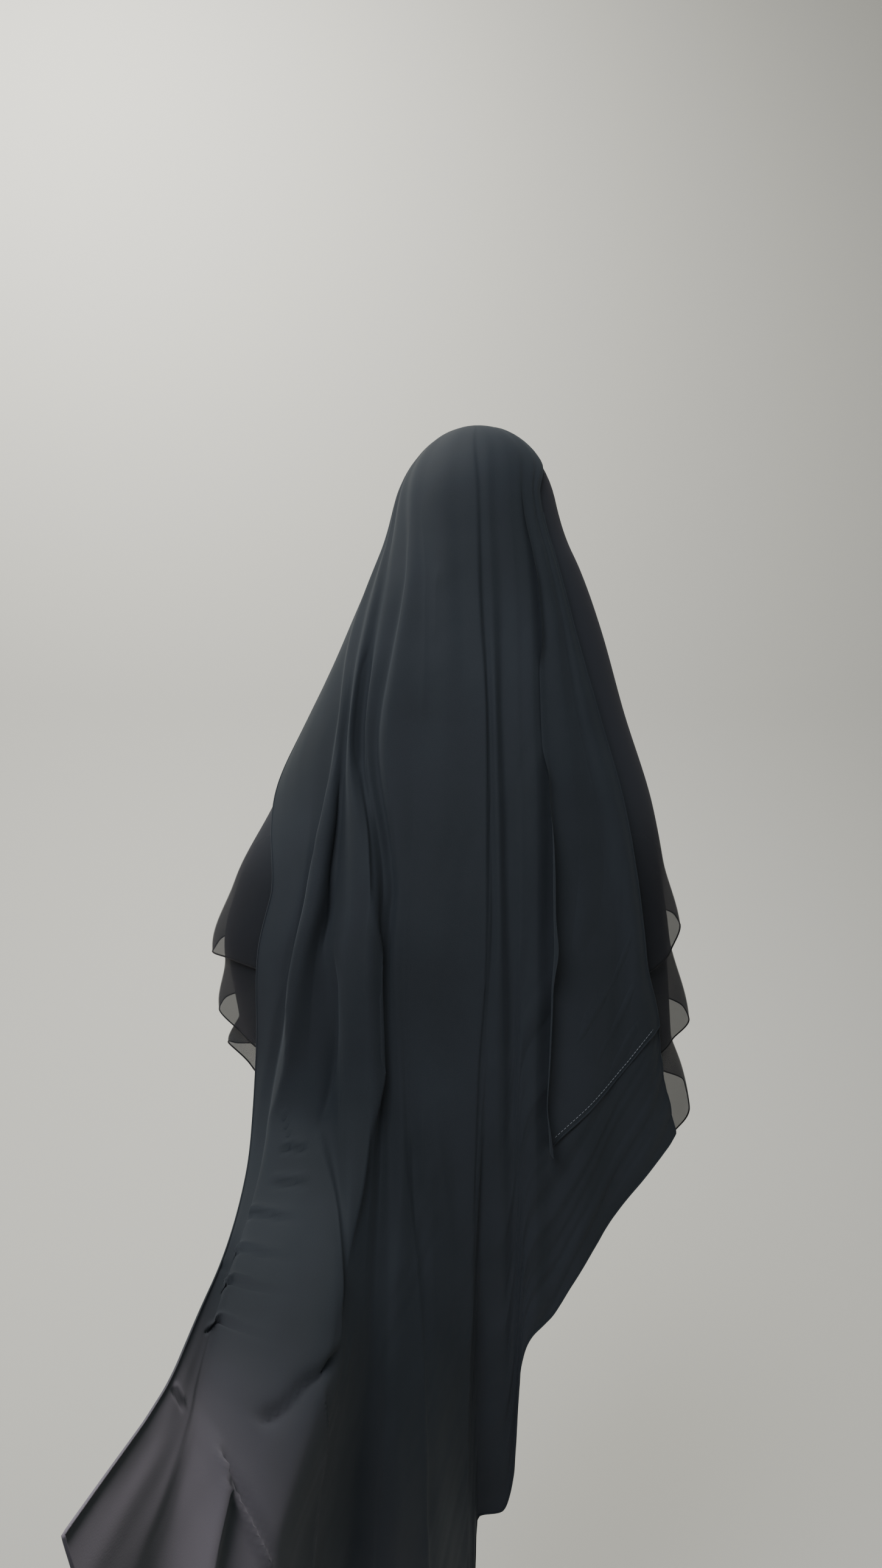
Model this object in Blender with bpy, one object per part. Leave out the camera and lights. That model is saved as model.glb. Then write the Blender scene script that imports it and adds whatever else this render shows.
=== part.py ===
# A long layered khimar veil, in metres: +Z up, the wearer faces +Y, the back is towards -Y.
# The origin is the crown, where the top of the head carries the cloth.
import math

import bmesh
import bpy
from mathutils import Vector

# The head that the hood sits on, measured from its crown
HEAD_HALF_WIDTH = 0.093
HEAD_HALF_DEPTH = 0.106
HEAD_RISE = 0.115

# How far the cloth stands out at hip height, and how far below the crown that is
HIP_DROP = 0.70
SIDE_REACH = 0.240
BACK_REACH = 0.154
FRONT_REACH = 0.210

# The oval opening for the face
FACE_HALF_WIDTH = 0.062
FACE_HALF_HEIGHT = 0.085
FACE_DROP = 0.125

# Cloth walls, the air between layers, and the depth of the folds
WALL = 0.0010
SEAT_GAP = 0.0005
PANEL_GAP = 0.0008
LAYER_GAP = 0.0040
FOLD_DEPTH = 0.030
FRONT_FOLD_DEPTH = 0.012
FRONT_FOLDS = 9
HEM_FLARE = 0.010

# Tiers: how far each hem hangs below the crown at the middle of the right side
TOP_TIER_LENGTH = 0.590
MIDDLE_TIER_LENGTH = 0.695
LOWER_TIER_LENGTH = 0.795
CHIN_CLEARANCE = 0.030

# The long back panel: its length along the middle, and where its left side is pulled back
BACK_LENGTH = 1.32
PULL_DROP = 0.70
PULL_SHARPNESS = 4.0

# Facets
DOME_ROWS = 5
ROW_STEP = 0.060
RING_COLUMNS = 48
FOLD_SPLITS = 2
FACE_SIDES = 24

# The draped form below the head. Drop is a share of the way from the head's widest
# level to hip height, and each reach is a share of the way from the head's own half
# size to the reach at the hip, so 0 is head and 1 is hip.
FORM = [
    # drop, right, left, back, front
    (0.000, 0.00, 0.00, 0.00, 0.00),
    (0.085, 0.17, 0.13, 0.12, -0.06),
    (0.205, 0.34, 0.33, 0.29, -0.04),
    (0.368, 0.52, 0.63, 0.52, 0.14),
    (0.556, 0.75, 0.99, 0.71, 0.42),
    (0.709, 0.86, 1.30, 0.83, 0.73),
    (0.829, 0.92, 1.41, 0.92, 0.90),
    (1.000, 0.96, 1.31, 1.00, 1.00),
    (1.274, 1.01, 1.20, 1.12, 1.05),
    (2.200, 1.07, 1.14, 1.54, 1.10),
]

# Hems of the tiers at the left, back and front, as shares of the length at the right
TIER_HEMS = {
    # left, back, front
    "top": (1.035, 1.11, 0.93),
    "middle": (0.965, 1.09, 0.95),
    "lower": (0.905, 1.07, 0.98),
}

# Fold lines of the back panels, from the wearer's left edge to the right one.
# The places are quarter turns round the form: 0 at the middle of the back, 1 at the
# right side. They are read at the top, brow, nape, shoulder and elbow, then a
# quarter, half, three quarters and all of the way from elbow to hem.
LEVELS = ("top", "brow", "nape", "shoulder", "elbow", "hip", "thigh", "knee", "hem")
DEPTH_LEVELS = ("nape", "shoulder", "elbow", "thigh", "hem")
# Depths are shares of FOLD_DEPTH at five of those levels, the length is a share of
# BACK_LENGTH, and the pull is the angle from straight down that the hem reaches.
# A ridge stands between two furrows; where two lines lie close, the fold is steep.
FOLDS = [
    # top, brow, nape, shoulder, elbow, hip, thigh, knee, hem,
    # depths at nape, shoulder, elbow, thigh and hem, length, pull
    (-1.10, -1.02, -1.00, -0.98, -0.57, -0.68, -0.74, -0.63, -0.56,
     0.10, 0.12, 0.10, 0.15, 0.15, 1.210, 106),
    (-1.06, -0.98, -0.93, -0.67, -0.47, -0.65, -0.72, -0.61, -0.54,
     0.20, 0.20, 0.15, 0.18, 0.15, 1.205, 104),
    (-1.02, -0.94, -0.86, -0.57, -0.44, -0.61, -0.69, -0.59, -0.52,
     0.22, 0.15, 0.08, 0.18, 0.18, 1.195, 101),
    (-0.98, -0.92, -0.79, -0.53, -0.40, -0.55, -0.65, -0.57, -0.50,
     0.30, 0.40, 0.60, 0.32, 0.24, 1.185, 98),
    (-0.94, -0.88, -0.72, -0.50, -0.36, -0.38, -0.33, -0.39, -0.38,
     0.20, 0.25, 0.15, 0.32, 0.45, 1.130, 80),
    (-0.91, -0.85, -0.65, -0.47, -0.29, -0.31, -0.30, -0.36, -0.35,
     0.30, 0.50, 0.70, 0.60, 0.50, 1.095, 63),
    (-0.87, -0.81, -0.60, -0.44, -0.25, -0.26, -0.28, -0.33, -0.32,
     0.12, 0.08, 0.60, 0.48, 0.35, 1.075, 51),
    (-0.81, -0.74, -0.53, -0.41, -0.23, -0.24, -0.26, -0.30, -0.28,
     0.30, 0.42, 0.30, 0.25, 0.15, 1.062, 44),
    (-0.75, -0.65, -0.44, -0.37, -0.21, -0.22, -0.23, -0.25, -0.24,
     0.08, 0.02, 0.05, 0.12, 0.10, 1.055, 40),
    (-0.64, -0.55, -0.38, -0.32, -0.19, -0.19, -0.20, -0.20, -0.20,
     0.30, 0.48, 0.30, 0.20, 0.30, 1.048, 36),
    (-0.49, -0.45, -0.29, -0.20, -0.16, -0.17, -0.15, -0.14, -0.13,
     0.12, 0.22, 0.25, 0.10, 0.08, 1.035, 28),
    (-0.31, -0.28, -0.18, -0.11, -0.09, -0.12, -0.11, -0.10, -0.10,
     0.22, 0.30, 0.30, 0.25, 0.35, 1.020, 20),
    (-0.18, -0.16, -0.10, -0.05, -0.04, -0.07, -0.07, -0.07, -0.06,
     0.15, 0.28, 0.30, 0.28, 0.45, 1.012, 12),
    (-0.08, -0.04, -0.02, 0.01, 0.01, -0.02, -0.03, -0.04, -0.03,
     0.22, 0.35, 0.40, 0.50, 1.00, 1.000, 4),
    (-0.03, 0.00, 0.01, 0.03, 0.03, 0.01, 0.00, -0.01, -0.01,
     0.05, 0.15, 0.18, 0.10, 0.05, 0.885, 0),
    (0.06, 0.05, 0.05, 0.05, 0.05, 0.04, 0.04, 0.05, 0.05,
     0.15, 0.30, 0.32, 0.28, 0.15, 0.880, 0),
    (0.15, 0.11, 0.10, 0.08, 0.08, 0.08, 0.08, 0.08, 0.08,
     0.08, 0.12, 0.15, 0.12, 0.15, 0.850, 0),
    (0.26, 0.22, 0.18, 0.14, 0.12, 0.11, 0.11, 0.11, 0.10,
     0.18, 0.30, 0.32, 0.35, 0.45, 0.764, 0),
    (0.37, 0.28, 0.24, 0.19, 0.16, 0.15, 0.14, 0.14, 0.13,
     0.25, 0.42, 0.45, 0.45, 0.50, 0.744, 0),
    (0.46, 0.33, 0.30, 0.25, 0.21, 0.20, 0.19, 0.19, 0.18,
     0.05, 0.08, 0.12, 0.12, 0.12, 0.734, 0),
    (0.56, 0.39, 0.35, 0.32, 0.30, 0.29, 0.29, 0.28, 0.25,
     0.15, 0.22, 0.28, 0.30, 0.35, 0.703, 0),
    (0.66, 0.42, 0.40, 0.40, 0.43, 0.43, 0.42, 0.40, 0.37,
     0.03, 0.04, 0.08, 0.08, 0.10, 0.664, 0),
    (0.74, 0.45, 0.43, 0.45, 0.50, 0.50, 0.53, 0.53, 0.51,
     0.10, 0.15, 0.25, 0.28, 0.30, 0.630, 0),
    (0.83, 0.49, 0.47, 0.52, 0.55, 0.55, 0.59, 0.61, 0.66,
     0.02, 0.05, 0.10, 0.15, 0.25, 0.606, 0),
]
DEPTHS = len(LEVELS)
LENGTH = DEPTHS + len(DEPTH_LEVELS)
PULL = LENGTH + 1

# The short back panel lies on the long one from the sharp crease to the right edge:
# its hem, as shares of BACK_LENGTH, at the crease and at each fold line after it
SHORT_START = 18.5
SHORT_HEM = (0.606, 0.600, 0.577, 0.551, 0.524, 0.515)

# Levels of the body where the fold lines are read, as shares of HEAD_RISE or HIP_DROP
TOP_LEVEL = 0.30 * HEAD_RISE
BROW_LEVEL = 0.83 * HEAD_RISE
NAPE_LEVEL = 0.285 * HIP_DROP
SHOULDER_LEVEL = 0.50 * HIP_DROP
ELBOW_LEVEL = 0.77 * HIP_DROP


def steady_curve(xs, ys, x):
    """A smooth curve through the points that never overshoots them."""
    if x <= xs[0]:
        return ys[0]
    if x >= xs[-1]:
        return ys[-1]
    steps = [xs[k + 1] - xs[k] for k in range(len(xs) - 1)]
    slopes = [(ys[k + 1] - ys[k]) / steps[k] for k in range(len(steps))]
    k = max(n for n in range(len(steps)) if xs[n] <= x)

    def tangent(n):
        if n == 0:
            return slopes[0]
        if n == len(steps):
            return slopes[-1]
        before, after = slopes[n - 1], slopes[n]
        if before * after <= 0:
            return 0.0
        near, far = 2 * steps[n] + steps[n - 1], steps[n] + 2 * steps[n - 1]
        return (near + far) / (near / before + far / after)

    t = (x - xs[k]) / steps[k]
    rise = steps[k]
    return ((2 * t**3 - 3 * t**2 + 1) * ys[k] + (t**3 - 2 * t**2 + t) * rise * tangent(k)
            + (3 * t**2 - 2 * t**3) * ys[k + 1] + (t**3 - t**2) * rise * tangent(k + 1))


def ease(x, low, high):
    """0 below low, 1 above high, and a smooth step between."""
    t = min(1.0, max(0.0, (x - low) / (high - low)))
    return t * t * (3 - 2 * t)


def form_at(drop):
    """Half sizes of the draped form at a drop below the crown: right, left, back, front."""
    if drop < HEAD_RISE:
        dome = math.sqrt(max(0.0, 1 - ((HEAD_RISE - drop) / HEAD_RISE) ** 2))
        return (HEAD_HALF_WIDTH * dome, HEAD_HALF_WIDTH * dome,
                HEAD_HALF_DEPTH * dome, HEAD_HALF_DEPTH * dome)
    share = (drop - HEAD_RISE) / (HIP_DROP - HEAD_RISE)
    drops = [row[0] for row in FORM]
    heads = (HEAD_HALF_WIDTH, HEAD_HALF_WIDTH, HEAD_HALF_DEPTH, HEAD_HALF_DEPTH)
    hips = (SIDE_REACH, SIDE_REACH, BACK_REACH, FRONT_REACH)
    sizes = []
    for side in range(4):
        blend = steady_curve(drops, [row[side + 1] for row in FORM], share)
        sizes.append(heads[side] + (hips[side] - heads[side]) * blend)
    return tuple(sizes)


def form_point(turn, drop):
    """A point on the draped form, with the direction that points out of it."""
    right, left, back, front = form_at(drop)
    angle = math.pi / 2 * turn
    wide = right if math.sin(angle) > 0 else left
    deep = back if math.cos(angle) > 0 else front
    point = Vector((wide * math.sin(angle), -deep * math.cos(angle), -drop))
    out = Vector((deep * math.sin(angle), -wide * math.cos(angle), 0))
    if drop < HEAD_RISE:
        # on the dome the outward direction leans up towards the crown
        out = Vector((point.x / HEAD_HALF_WIDTH**2, point.y / HEAD_HALF_DEPTH**2,
                      (HEAD_RISE - drop) / HEAD_RISE**2))
    return point, out.normalized()


def dress_rows(last):
    """Drops of the facet rows: even steps over the dome, then one step after another."""
    rows = [HEAD_RISE * (1 - math.cos(math.pi / 2 * k / DOME_ROWS)) for k in range(DOME_ROWS + 1)]
    while rows[-1] < last:
        rows.append(rows[-1] + ROW_STEP)
    return rows


# Tiers

def tier_hem(tier, turn):
    """Drop of a tier's hem at a turn round the form."""
    right = {"top": TOP_TIER_LENGTH, "middle": MIDDLE_TIER_LENGTH, "lower": LOWER_TIER_LENGTH}[tier]
    left, back, front = (right * share for share in TIER_HEMS[tier])
    side, rear = math.sin(math.pi / 2 * turn), math.cos(math.pi / 2 * turn)
    return side**2 * (right if side > 0 else left) + rear**2 * (back if rear > 0 else front)


def front_fold(turn, drop):
    """Soft folds that hang from the shoulders, over the front only."""
    wave = 0.5 - 0.5 * math.cos(math.pi * FRONT_FOLDS * (abs(turn) - 1))
    return (FRONT_FOLD_DEPTH * wave * ease(abs(turn), 1.0, 1.35)
            * ease(drop, NAPE_LEVEL * 1.2, TOP_TIER_LENGTH))


def flare_start(tier, turn):
    """Where a tier begins to kick out: below the hem of the tier that covers it."""
    if tier == "top":
        return tier_hem(tier, turn) - 0.15 * TOP_TIER_LENGTH
    return tier_hem({"middle": "top", "lower": "middle"}[tier], turn)


def tier_surface(tier):
    """The inner face of a tier as a function of turn and drop."""
    depth = {"top": 0, "middle": 1, "lower": 2}[tier]

    def surface(turn, drop):
        point, out = form_point(turn, drop)
        air = SEAT_GAP + (LAYER_GAP - SEAT_GAP) * ease(drop, NAPE_LEVEL * 1.3, ELBOW_LEVEL)
        kick = (HEM_FLARE * ease(abs(turn), 0.80, 1.05)
                * ease(drop, flare_start(tier, turn), tier_hem(tier, turn)))
        return point + out * (front_fold(turn, drop) + kick - depth * (WALL + air))

    return surface


# Back panels

LEVEL_COUNT = len(LEVELS)
FOLD_NUMBERS = list(range(len(FOLDS)))


def across(column, value):
    """A value between fold lines, turning level at each ridge and furrow."""
    first = min(int(column), len(FOLDS) - 2)
    t = column - first
    a, b = value(FOLDS[first]), value(FOLDS[first + 1])
    return a + (b - a) * t * t * (3 - 2 * t)


def along(column, value):
    """A value between fold lines, running on smoothly through them."""
    return steady_curve(FOLD_NUMBERS, [value(fold) for fold in FOLDS], column)


def panel_length(column):
    return along(column, lambda fold: fold[LENGTH]) * BACK_LENGTH


def panel_levels(column):
    """Cloth lengths at which the fold lines are read, from top to hem."""
    length = panel_length(column)
    levels = [TOP_LEVEL, BROW_LEVEL, NAPE_LEVEL, SHOULDER_LEVEL, ELBOW_LEVEL]
    free = length - ELBOW_LEVEL
    return levels + [ELBOW_LEVEL + free * share for share in (0.25, 0.50, 0.75, 1.0)]


def pulled(column, length):
    """Reach to the back, drop and lean of a line that is pulled away from the body."""
    whole = max(panel_length(column) - PULL_DROP, ROW_STEP)
    loose = max(length - PULL_DROP, 0.0)
    pull = math.radians(along(column, lambda fold: fold[PULL]))
    reach, drop, steps = 0.0, min(length, PULL_DROP), 24
    for k in range(steps):
        gone = min(1.0, (k + 0.5) / steps * loose / whole)
        lean = pull * (1 - (1 - gone) ** PULL_SHARPNESS)
        reach += math.sin(lean) * loose / steps
        drop += math.cos(lean) * loose / steps
    return reach, drop, pull * (1 - (1 - min(1.0, loose / whole)) ** PULL_SHARPNESS)


def panel_surface(column, length):
    """The inner face of the long back panel at a fold column and a length of cloth."""
    levels = panel_levels(column)
    turn = steady_curve(levels, [along(column, lambda fold, n=n: fold[n])
                                 for n in range(LEVEL_COUNT)], length)
    reads = [0.0] + [levels[LEVELS.index(name)] for name in DEPTH_LEVELS]
    depths = [0.0] + [across(column, lambda fold, n=n: fold[DEPTHS + n])
                      for n in range(len(DEPTH_LEVELS))]
    relief = FOLD_DEPTH * steady_curve(reads, depths, length)
    point, out = form_point(turn, length)
    reach, drop, lean = pulled(column, length)
    spot = Vector((point.x, point.y - reach, -drop))
    if length > HEAD_RISE:
        out = Vector((out.x, out.y * math.cos(lean), -out.y * math.sin(lean)))
    air = PANEL_GAP + (LAYER_GAP - PANEL_GAP) * (0.3 * ease(length, TOP_LEVEL, BROW_LEVEL)
                                                 + 0.7 * ease(length, BROW_LEVEL, SHOULDER_LEVEL))
    return spot + out * (WALL + air + relief)


def short_hem(column):
    starts = [SHORT_START] + FOLD_NUMBERS[math.ceil(SHORT_START):]
    return steady_curve(starts, SHORT_HEM, column) * BACK_LENGTH


# Building

def facet_normal(surface, column, length):
    """Outward direction of a surface, from two short steps along it."""
    step = 0.002
    low = max(length - step, 0.0005)
    down = surface(column, length + step) - surface(column, low)
    sideways = surface(column + step, length) - surface(column - step, length)
    return sideways.cross(down).normalized() * -1


def cloth_wall(name, surface, columns, rows, start, hem, low, ring):
    """One closed wall of cloth. Its inner face lies at low outside the surface."""
    mesh = bpy.data.meshes.new(name)
    bm = bmesh.new()
    sheets = []
    for offset in (low, low + WALL):
        grid = []
        for column in columns:
            ends = hem(column)
            lengths = [start] + [row for row in rows if start + 0.4 * ROW_STEP < row < ends - 0.3 * ROW_STEP]
            lengths = lengths if start else [row for row in rows if row < ends - 0.3 * ROW_STEP]
            lengths += [ends] * (len(rows) - len(lengths) + 1)
            line = []
            for number, length in enumerate(lengths):
                if number and length == lengths[number - 1]:
                    line.append(line[-1])
                elif length == 0 and grid:
                    line.append(grid[0][0])
                elif length == 0:
                    line.append(bm.verts.new(surface(column, 0) + Vector((0, 0, offset))))
                else:
                    out = facet_normal(surface, column, length)
                    line.append(bm.verts.new(surface(column, length) + out * offset))
            grid.append(line)
        sheets.append(grid)
    count = len(columns)
    pairs = [(j, (j + 1) % count) for j in range(count if ring else count - 1)]

    def add_face(corners):
        kept = [v for k, v in enumerate(corners) if v is not corners[k - 1]]
        if len(kept) >= 3 and len(set(kept)) == len(kept):
            bm.faces.new(kept)

    inner, outer = sheets
    for j, k in pairs:
        for i in range(len(inner[0]) - 1):
            for grid, turn in ((outer, 1), (inner, -1)):
                a, b, c, d = grid[j][i], grid[j][i + 1], grid[k][i + 1], grid[k][i]
                add_face((a, b, c)[::turn])
                add_face((a, c, d)[::turn])
        add_face((outer[j][-1], inner[j][-1], inner[k][-1], outer[k][-1]))
        if start:
            add_face((outer[k][0], inner[k][0], inner[j][0], outer[j][0]))
    if not ring:
        for j, turn in ((0, 1), (-1, -1)):
            for i in range(len(inner[0]) - 1):
                side = (outer[j][i], inner[j][i], inner[j][i + 1], outer[j][i + 1])
                add_face(side[::turn])
    bm.to_mesh(mesh)
    bm.free()
    piece = bpy.data.objects.new(name, mesh)
    bpy.context.scene.collection.objects.link(piece)
    mesh.shade_smooth()
    return piece


def finish(piece, name, colour, roughness, alpha):
    """Give a piece its own cloth material."""
    material = bpy.data.materials.new(name)
    material.use_nodes = True
    shader = material.node_tree.nodes["Principled BSDF"]
    shader.inputs["Base Color"].default_value = (*colour, 1)
    shader.inputs["Roughness"].default_value = roughness
    shader.inputs["Metallic"].default_value = 0.0
    shader.inputs["Alpha"].default_value = alpha
    piece.data.materials.append(material)


def make_tier(name, tier, start, last):
    columns = [4 * k / RING_COLUMNS - 2 for k in range(RING_COLUMNS)]
    piece = cloth_wall(name, tier_surface(tier), columns, dress_rows(last), start,
                       lambda turn: tier_hem(tier, turn), 0.0, True)
    finish(piece, name + "_chiffon", (0.020, 0.021, 0.022), 0.85, 1.0)
    return piece


def cut_face(hood):
    """Cut the oval for the face through the front of the hood."""
    reach = 2 * HEAD_HALF_DEPTH
    bpy.ops.mesh.primitive_cylinder_add(vertices=FACE_SIDES, radius=1, depth=reach,
                                        location=(0, 0.3 * HEAD_HALF_DEPTH + reach / 2, -FACE_DROP),
                                        rotation=(math.pi / 2, 0, 0))
    cutter = bpy.context.active_object
    cutter.name = "face_cutter"
    for vertex in cutter.data.vertices:
        vertex.co.x *= FACE_HALF_WIDTH
        vertex.co.y *= FACE_HALF_HEIGHT
    cutter.hide_render = True
    cutter.display_type = "WIRE"
    cut = hood.modifiers.new("face", "BOOLEAN")
    cut.operation = "DIFFERENCE"
    cut.object = cutter


def make_panel(name, first, hem, low, colour):
    last = len(FOLDS) - 1
    steps = int(round((last - first) * FOLD_SPLITS))
    columns = [first + (last - first) * k / steps for k in range(steps + 1)]
    longest = max(hem(column) for column in columns)
    piece = cloth_wall(name, panel_surface, columns, dress_rows(longest), 0.0, hem, low, False)
    finish(piece, name + "_crepe", colour, 0.80, 1.0)
    return piece


for item in list(bpy.data.objects):
    bpy.data.objects.remove(item, do_unlink=True)

neck = FACE_DROP + FACE_HALF_HEIGHT + CHIN_CLEARANCE
cut_face(make_tier("hood_and_top_tier", "top", 0.0, 1.1 * TOP_TIER_LENGTH))
make_tier("middle_tier", "middle", neck, 1.15 * MIDDLE_TIER_LENGTH)
make_tier("lower_tier", "lower", neck, 1.2 * LOWER_TIER_LENGTH)
make_panel("long_back_panel", 0, panel_length, 0.0, (0.018, 0.019, 0.019))
make_panel("short_back_panel", SHORT_START, short_hem, WALL + SEAT_GAP, (0.019, 0.020, 0.020))
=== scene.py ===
# Black layered khimar veil, worn form, seen from the back.
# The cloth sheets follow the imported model's drape at a much finer step, a few folds gentler.
import math

import bpy
import numpy as np
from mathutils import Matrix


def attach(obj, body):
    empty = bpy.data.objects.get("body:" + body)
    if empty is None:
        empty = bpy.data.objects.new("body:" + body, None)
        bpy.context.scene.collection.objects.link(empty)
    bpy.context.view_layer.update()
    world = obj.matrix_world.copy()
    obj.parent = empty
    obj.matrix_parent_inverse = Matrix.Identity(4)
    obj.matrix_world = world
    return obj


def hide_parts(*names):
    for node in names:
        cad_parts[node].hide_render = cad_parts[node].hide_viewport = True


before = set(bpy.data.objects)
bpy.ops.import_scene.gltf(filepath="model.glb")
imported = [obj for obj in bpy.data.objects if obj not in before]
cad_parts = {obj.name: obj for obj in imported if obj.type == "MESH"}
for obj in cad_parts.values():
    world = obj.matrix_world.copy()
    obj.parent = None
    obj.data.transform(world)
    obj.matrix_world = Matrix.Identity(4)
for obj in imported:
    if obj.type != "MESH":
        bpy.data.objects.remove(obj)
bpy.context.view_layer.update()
print("frame loaded", sorted(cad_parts))

rightAngle = math.pi / 2

# Half sizes of the draped form. The rows are shares: 0 is the head, 1 is the hip.
bodyForm = {
    "headHalfWidth": 0.093,
    "headHalfDepth": 0.106,
    "headRise": 0.115,
    "hipDrop": 0.70,
    "easeAbove": 0.030,  # the kink at the dome's foot is eased over these two lengths
    "easeBelow": 0.035,
    "sideReach": 0.240,
    "backReach": 0.154,
    "frontReach": 0.210,
    "rows": [
        # drop, right, left, back, front
        (0.000, 0.00, 0.00, 0.00, 0.00),
        (0.085, 0.17, 0.13, 0.12, -0.06),
        (0.205, 0.34, 0.33, 0.29, -0.04),
        (0.368, 0.52, 0.63, 0.52, 0.14),
        (0.556, 0.75, 0.99, 0.71, 0.42),
        (0.709, 0.86, 1.30, 0.83, 0.73),
        (0.829, 0.92, 1.41, 0.92, 0.90),
        (1.000, 0.96, 1.31, 1.00, 1.00),
        (1.274, 1.01, 1.20, 1.12, 1.05),
        (2.200, 1.07, 1.14, 1.54, 1.10),
    ],
}


def steadyCurve(xs, ys, x):
    """smooth, never overshoots; ys may hold several columns"""
    xs = np.asarray(xs, float)
    ys = np.asarray(ys, float)
    flat = ys.ndim == 1
    if flat:
        ys = ys[:, None]
    step = np.diff(xs)[:, None]
    slope = np.diff(ys, axis=0) / step
    tangent = np.zeros_like(ys)
    tangent[0], tangent[-1] = slope[0], slope[-1]
    before, after = slope[:-1], slope[1:]
    near, far = 2 * step[1:] + step[:-1], step[1:] + 2 * step[:-1]
    sameWay = before * after > 0
    safeBefore = np.where(sameWay, before, 1.0)
    safeAfter = np.where(sameWay, after, 1.0)
    tangent[1:-1] = np.where(sameWay, (near + far) / (near / safeBefore + far / safeAfter), 0.0)
    x = np.clip(np.atleast_1d(np.asarray(x, float)), xs[0], xs[-1])
    k = np.clip(np.searchsorted(xs, x, side="right") - 1, 0, len(xs) - 2)
    t = ((x - xs[k]) / (xs[k + 1] - xs[k]))[:, None]
    rise = (xs[k + 1] - xs[k])[:, None]
    out = ((2 * t**3 - 3 * t**2 + 1) * ys[k] + (t**3 - 2 * t**2 + t) * rise * tangent[k]
           + (3 * t**2 - 2 * t**3) * ys[k + 1] + (t**3 - t**2) * rise * tangent[k + 1])
    return out[:, 0] if flat else out


def ease(x, low, high):
    t = np.clip((np.asarray(x, float) - low) / (high - low), 0.0, 1.0)
    return t * t * (3 - 2 * t)


def sharpSizes(drop):
    """right, left, back and front half sizes at each drop, with a kink where the dome ends"""
    form = bodyForm
    drop = np.asarray(drop, float)
    share = (drop - form["headRise"]) / (form["hipDrop"] - form["headRise"])
    rows = np.array(form["rows"])
    blend = steadyCurve(rows[:, 0], rows[:, 1:], share)
    heads = np.array([form["headHalfWidth"]] * 2 + [form["headHalfDepth"]] * 2)
    hips = np.array([form["sideReach"]] * 2 + [form["backReach"], form["frontReach"]])
    below = heads + (hips - heads) * blend
    gone = np.clip((form["headRise"] - drop) / form["headRise"], 0, 1)
    dome = np.sqrt(1 - gone**2)[:, None] * heads
    return np.where((drop < form["headRise"])[:, None], dome, below)


def formSizes(drop):
    """the same sizes, with the dome eased into the drape below it"""
    rise = bodyForm["headRise"]
    start, end = rise - bodyForm["easeAbove"], rise + bodyForm["easeBelow"]
    span, step = end - start, 1e-4
    ends = sharpSizes([start, start + step, end, end + step])
    rises = (ends[1] - ends[0]) * span / step, (ends[3] - ends[2]) * span / step
    t = np.clip((np.asarray(drop, float) - start) / span, 0, 1)[:, None]
    eased = ((2 * t**3 - 3 * t**2 + 1) * ends[0] + (t**3 - 2 * t**2 + t) * rises[0]
             + (3 * t**2 - 2 * t**3) * ends[2] + (t**3 - t**2) * rises[1])
    return np.where((t > 0) & (t < 1), eased, sharpSizes(drop))


def formPoints(turn, drop):
    """points on the form and the directions out of it"""
    form = bodyForm
    sizes = formSizes(drop)
    angle = rightAngle * turn
    side, rear = np.sin(angle), np.cos(angle)
    wide = np.where(side > 0, sizes[:, 0], sizes[:, 1])
    deep = np.where(rear > 0, sizes[:, 2], sizes[:, 3])
    points = np.stack([wide * side, -deep * rear, -drop], 1)
    out = np.stack([deep * side, -wide * rear, 0 * drop], 1)
    domeOut = np.stack([points[:, 0] / form["headHalfWidth"]**2, points[:, 1] / form["headHalfDepth"]**2,
                        (form["headRise"] - drop) / form["headRise"]**2], 1)
    out = np.where((drop < form["headRise"])[:, None], domeOut, out)
    length = np.linalg.norm(out, axis=1, keepdims=True)
    return points, out / np.maximum(length, 1e-9)


# Making sheets

def deselectAll():
    if bpy.context.object and bpy.context.object.mode != "OBJECT":
        bpy.ops.object.mode_set(mode="OBJECT")
    bpy.ops.object.select_all(action="DESELECT")


def clothGrid(name, columnCount, rowCount):
    """a flat grid with a UV map, to be draped point by point"""
    deselectAll()
    bpy.ops.mesh.primitive_grid_add(x_subdivisions=columnCount, y_subdivisions=rowCount, size=1,
                                    location=(0, 0, 0))
    piece = bpy.context.object
    piece.name = name
    piece.data.name = name
    return piece


def gridShares(piece):
    """each vertex's share across (0 left, 1 right) and down (0 top, 1 hem)"""
    count = len(piece.data.vertices)
    spots = np.empty(count * 3)
    piece.data.vertices.foreach_get("co", spots)
    spots = spots.reshape(-1, 3)
    return spots[:, 0] + 0.5, 0.5 - spots[:, 1]


def drape(piece, points, width, length):
    """move the grid to its drape and size its UV map in metres of flat cloth"""
    piece.data.vertices.foreach_set("co", np.ascontiguousarray(points, float).ravel())
    layer = piece.data.uv_layers.active.data
    uvs = np.empty(len(layer) * 2)
    layer.foreach_get("uv", uvs)
    uvs = uvs.reshape(-1, 2) * (width, length)
    layer.foreach_set("uv", uvs.ravel())
    piece.data.update()


def weldPole(piece):
    """the columns meet at the crown: weld them there"""
    deselectAll()
    piece.select_set(True)
    bpy.context.view_layer.objects.active = piece
    bpy.ops.object.mode_set(mode="EDIT")
    bpy.ops.mesh.select_all(action="SELECT")
    bpy.ops.mesh.remove_doubles(threshold=0.00003)
    bpy.ops.mesh.normals_make_consistent(inside=False)
    bpy.ops.object.mode_set(mode="OBJECT")


def giveWall(piece, wall):
    """weld the pole, give the sheet its wall outwards and shade it smooth"""
    weldPole(piece)
    solid = piece.modifiers.new("wall", "SOLIDIFY")
    solid.thickness = wall
    solid.offset = 1.0
    bpy.ops.object.modifier_apply(modifier="wall")
    bpy.ops.object.shade_smooth()


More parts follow.
